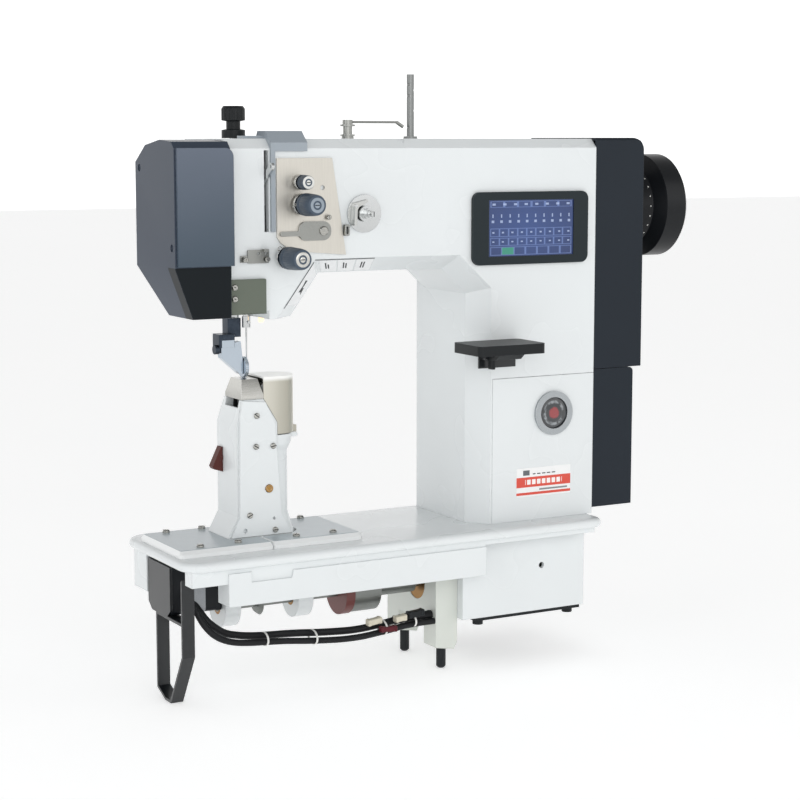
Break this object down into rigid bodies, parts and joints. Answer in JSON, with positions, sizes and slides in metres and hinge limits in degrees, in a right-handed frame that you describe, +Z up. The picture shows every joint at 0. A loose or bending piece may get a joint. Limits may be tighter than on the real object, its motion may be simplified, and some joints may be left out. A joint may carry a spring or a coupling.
{
  "type": "post-bed sewing machine head",
  "caption": "Post-bed lockstitch sewing machine head for leather, with a roller foot, a wheel feed, a rotary hook in the post and a direct drive motor.",
  "frame": {"origin": "middle of the bed plate, in the plane of its resting rim", "axes": "+X towards the handwheel, +Y away from the operator, +Z up"},
  "size_m": [0.6575, 0.2041, 0.662],
  "materials": {
    "white_paint": "glossy enamel",
    "plate_paint": "satin enamel",
    "throat_steel": "ground",
    "nickel": "brushed nickel",
    "red_plastic": "satin",
    "screw_steel": "polished",
    "slate_paint": "satin enamel",
    "navy_plastic": "fine grain",
    "motor_metal": "cast",
    "ring_metal": "satin",
    "sight_glass": "clear over dark oil",
    "bezel_plastic": "gloss",
    "display": "backlit",
    "satin_steel": "satin",
    "chrome": "polished",
    "smoke_plastic": "smoked",
    "lamp_lens": "frosted",
    "hammer_paint": "hammer finish",
    "bronze": "turned",
    "black_rod": "black oxide",
    "black_plastic": "satin",
    "black_paint": "satin enamel",
    "belt_rubber": "matte",
    "cable_rubber": "satin",
    "wheel_plastic": "gloss",
    "shaft_steel": "ground",
    "clutch_metal": "machined",
    "clutch_red": "satin",
    "knob_metal": "black oxide",
    "white_plastic": "gloss",
    "foot_steel": "blued"
  },
  "bodies": {
    "root": {"bed_casting": "white_paint", "arm_casting": "white_paint", "column_panel": "white_paint", "post_housing": "white_paint", "post_cover": "white_paint", "base_plates": "plate_paint", "throat_plate": "throat_steel", "machine_screws": "screw_steel", "face_cover": "slate_paint", "face_lid": "slate_paint", "motor_cover": "navy_plastic", "belt_cover": "navy_plastic", "drive_motor": "motor_metal", "sight_ring": "ring_metal", "sight_glass": "sight_glass", "screen_bezel": "bezel_plastic", "screen": "display", "tension_plate": "satin_steel", "tension_posts": "chrome", "thread_guides": "chrome", "thread_pole": "chrome", "needle_guard": "smoke_plastic", "lamp": "lamp_lens", "take_up_guard": "hammer_paint", "winder_plate": "chrome", "bushings": "bronze", "gearbox_casting": "white_paint", "support_rods": "black_rod", "oil_box": "white_paint", "oil_box_base": "black_plastic", "feed_motor": "black_paint", "motor_guard": "black_paint", "feed_belt": "belt_rubber", "timing_belt": "belt_rubber", "harness": "cable_rubber", "bobbin_case": "throat_steel", "reverse_bracket": "black_paint"},
    "handwheel": {"handwheel": "wheel_plastic", "main_shaft": "shaft_steel"},
    "lower_shaft": {"lower_shaft": "clutch_metal", "clutch_disc": "clutch_red"},
    "hook": {"hook": "shaft_steel"},
    "bobbin": {"bobbin": "shaft_steel"},
    "feed_wheel": {"feed_wheel": "foot_steel"},
    "feed_pulley": {"feed_pulley": "shaft_steel"},
    "needle_bar": {"needle_bar": "chrome", "needle": "chrome"},
    "take_up_lever": {"take_up_lever": "chrome"},
    "presser_bar": {"presser_bar": "chrome", "roller_bracket": "foot_steel"},
    "roller": {"roller": "foot_steel"},
    "pre_tension_knob": {"pre_tension_knob": "white_plastic"},
    "main_tension_knob": {"main_tension_knob": "knob_metal"},
    "lower_tension_knob": {"lower_tension_knob": "knob_metal"},
    "winder_spindle": {"winder_spindle": "chrome"},
    "winder_latch": {"winder_latch": "satin_steel"},
    "pressure_knob": {"pressure_knob": "black_plastic"},
    "reverse_lever": {"reverse_lever": "black_plastic"},
    "hook_cap": {"hook_cap": "nickel"},
    "post_lever": {"post_lever": "red_plastic"}
  },
  "joints": [
    {"name": "handwheel_turn", "type": "hinge", "parent": "root", "child": "handwheel", "pos_m": [0.33, 0.013, 0.362], "axis": [1, 0, 0], "continuous": true},
    {"name": "lower_shaft_turn", "type": "hinge", "parent": "root", "child": "lower_shaft", "pos_m": [0, 0, -0.058], "axis": [1, 0, 0], "continuous": true},
    {"name": "hook_turn", "type": "hinge", "parent": "root", "child": "hook", "pos_m": [-0.1276, 0, 0.17], "axis": [0, 0, 1], "continuous": true},
    {"name": "bobbin_turn", "type": "hinge", "parent": "root", "child": "bobbin", "pos_m": [-0.1276, 0, 0.175], "axis": [0, 0, 1], "continuous": true},
    {"name": "feed_wheel_turn", "type": "hinge", "parent": "root", "child": "feed_wheel", "pos_m": [-0.1521, 0, 0.1738], "axis": [1, 0, 0], "continuous": true},
    {"name": "feed_pulley_turn", "type": "hinge", "parent": "root", "child": "feed_pulley", "pos_m": [-0.1581, 0.0125, -0.031], "axis": [1, 0, 0], "continuous": true},
    {"name": "needle_bar_slide", "type": "slide", "parent": "root", "child": "needle_bar", "axis": [0, 0, 1], "range_m": [-0.03, 0.004]},
    {"name": "take_up_swing", "type": "hinge", "parent": "root", "child": "take_up_lever", "pos_m": [-0.1451, -0.014, 0.38], "axis": [1, 0, 0], "range_deg": [-8, 66]},
    {"name": "presser_lift", "type": "slide", "parent": "root", "child": "presser_bar", "axis": [0, 0, 1], "range_m": [0, 0.009]},
    {"name": "roller_turn", "type": "hinge", "parent": "presser_bar", "child": "roller", "pos_m": [-0.1521, 0, 0.199], "axis": [1, 0, 0], "continuous": true},
    {"name": "pre_tension_turn", "type": "hinge", "parent": "root", "child": "pre_tension_knob", "pos_m": [-0.1081, -0.06, 0.395], "axis": [0, 1, 0], "range_deg": [-360, 360]},
    {"name": "main_tension_turn", "type": "hinge", "parent": "root", "child": "main_tension_knob", "pos_m": [-0.1061, -0.06, 0.372], "axis": [0, 1, 0], "range_deg": [-360, 360]},
    {"name": "lower_tension_turn", "type": "hinge", "parent": "root", "child": "lower_tension_knob", "pos_m": [-0.1261, -0.06, 0.317], "axis": [0, 1, 0], "range_deg": [-360, 360]},
    {"name": "winder_turn", "type": "hinge", "parent": "root", "child": "winder_spindle", "pos_m": [-0.0315, -0.05, 0.361], "axis": [0, 1, 0], "continuous": true},
    {"name": "winder_latch_swing", "type": "hinge", "parent": "root", "child": "winder_latch", "pos_m": [-0.0435, -0.05, 0.369], "axis": [0, 1, 0], "range_deg": [-6, 9]},
    {"name": "pressure_turn", "type": "hinge", "parent": "root", "child": "pressure_knob", "pos_m": [-0.1561, 0.01, 0.45], "axis": [0, 0, 1], "range_deg": [-360, 360]},
    {"name": "reverse_press", "type": "hinge", "parent": "root", "child": "reverse_lever", "pos_m": [0.1253, -0.0635, 0.202], "axis": [1, 0, 0], "range_deg": [0, 14], "stiffness_Nm_per_rad": 0.5, "springref_deg": -11.46},
    {"name": "hook_cap_open", "type": "hinge", "parent": "root", "child": "hook_cap", "pos_m": [-0.0946, 0, 0.1235], "axis": [0, 1, 0], "range_deg": [0, 90]},
    {"name": "post_lever_swing", "type": "hinge", "parent": "root", "child": "post_lever", "pos_m": [-0.1701, 0.02, 0.1], "axis": [1, 0, 0], "range_deg": [-20, 20]}
  ],
  "couplings": [
    {"joint": "lower_shaft_turn", "follows": "handwheel_turn", "ratio": 1},
    {"joint": "hook_turn", "follows": "handwheel_turn", "ratio": 2},
    {"joint": "feed_pulley_turn", "follows": "feed_wheel_turn", "ratio": 1},
    {"joint": "roller_turn", "follows": "feed_wheel_turn", "ratio": -1.2727}
  ]
}
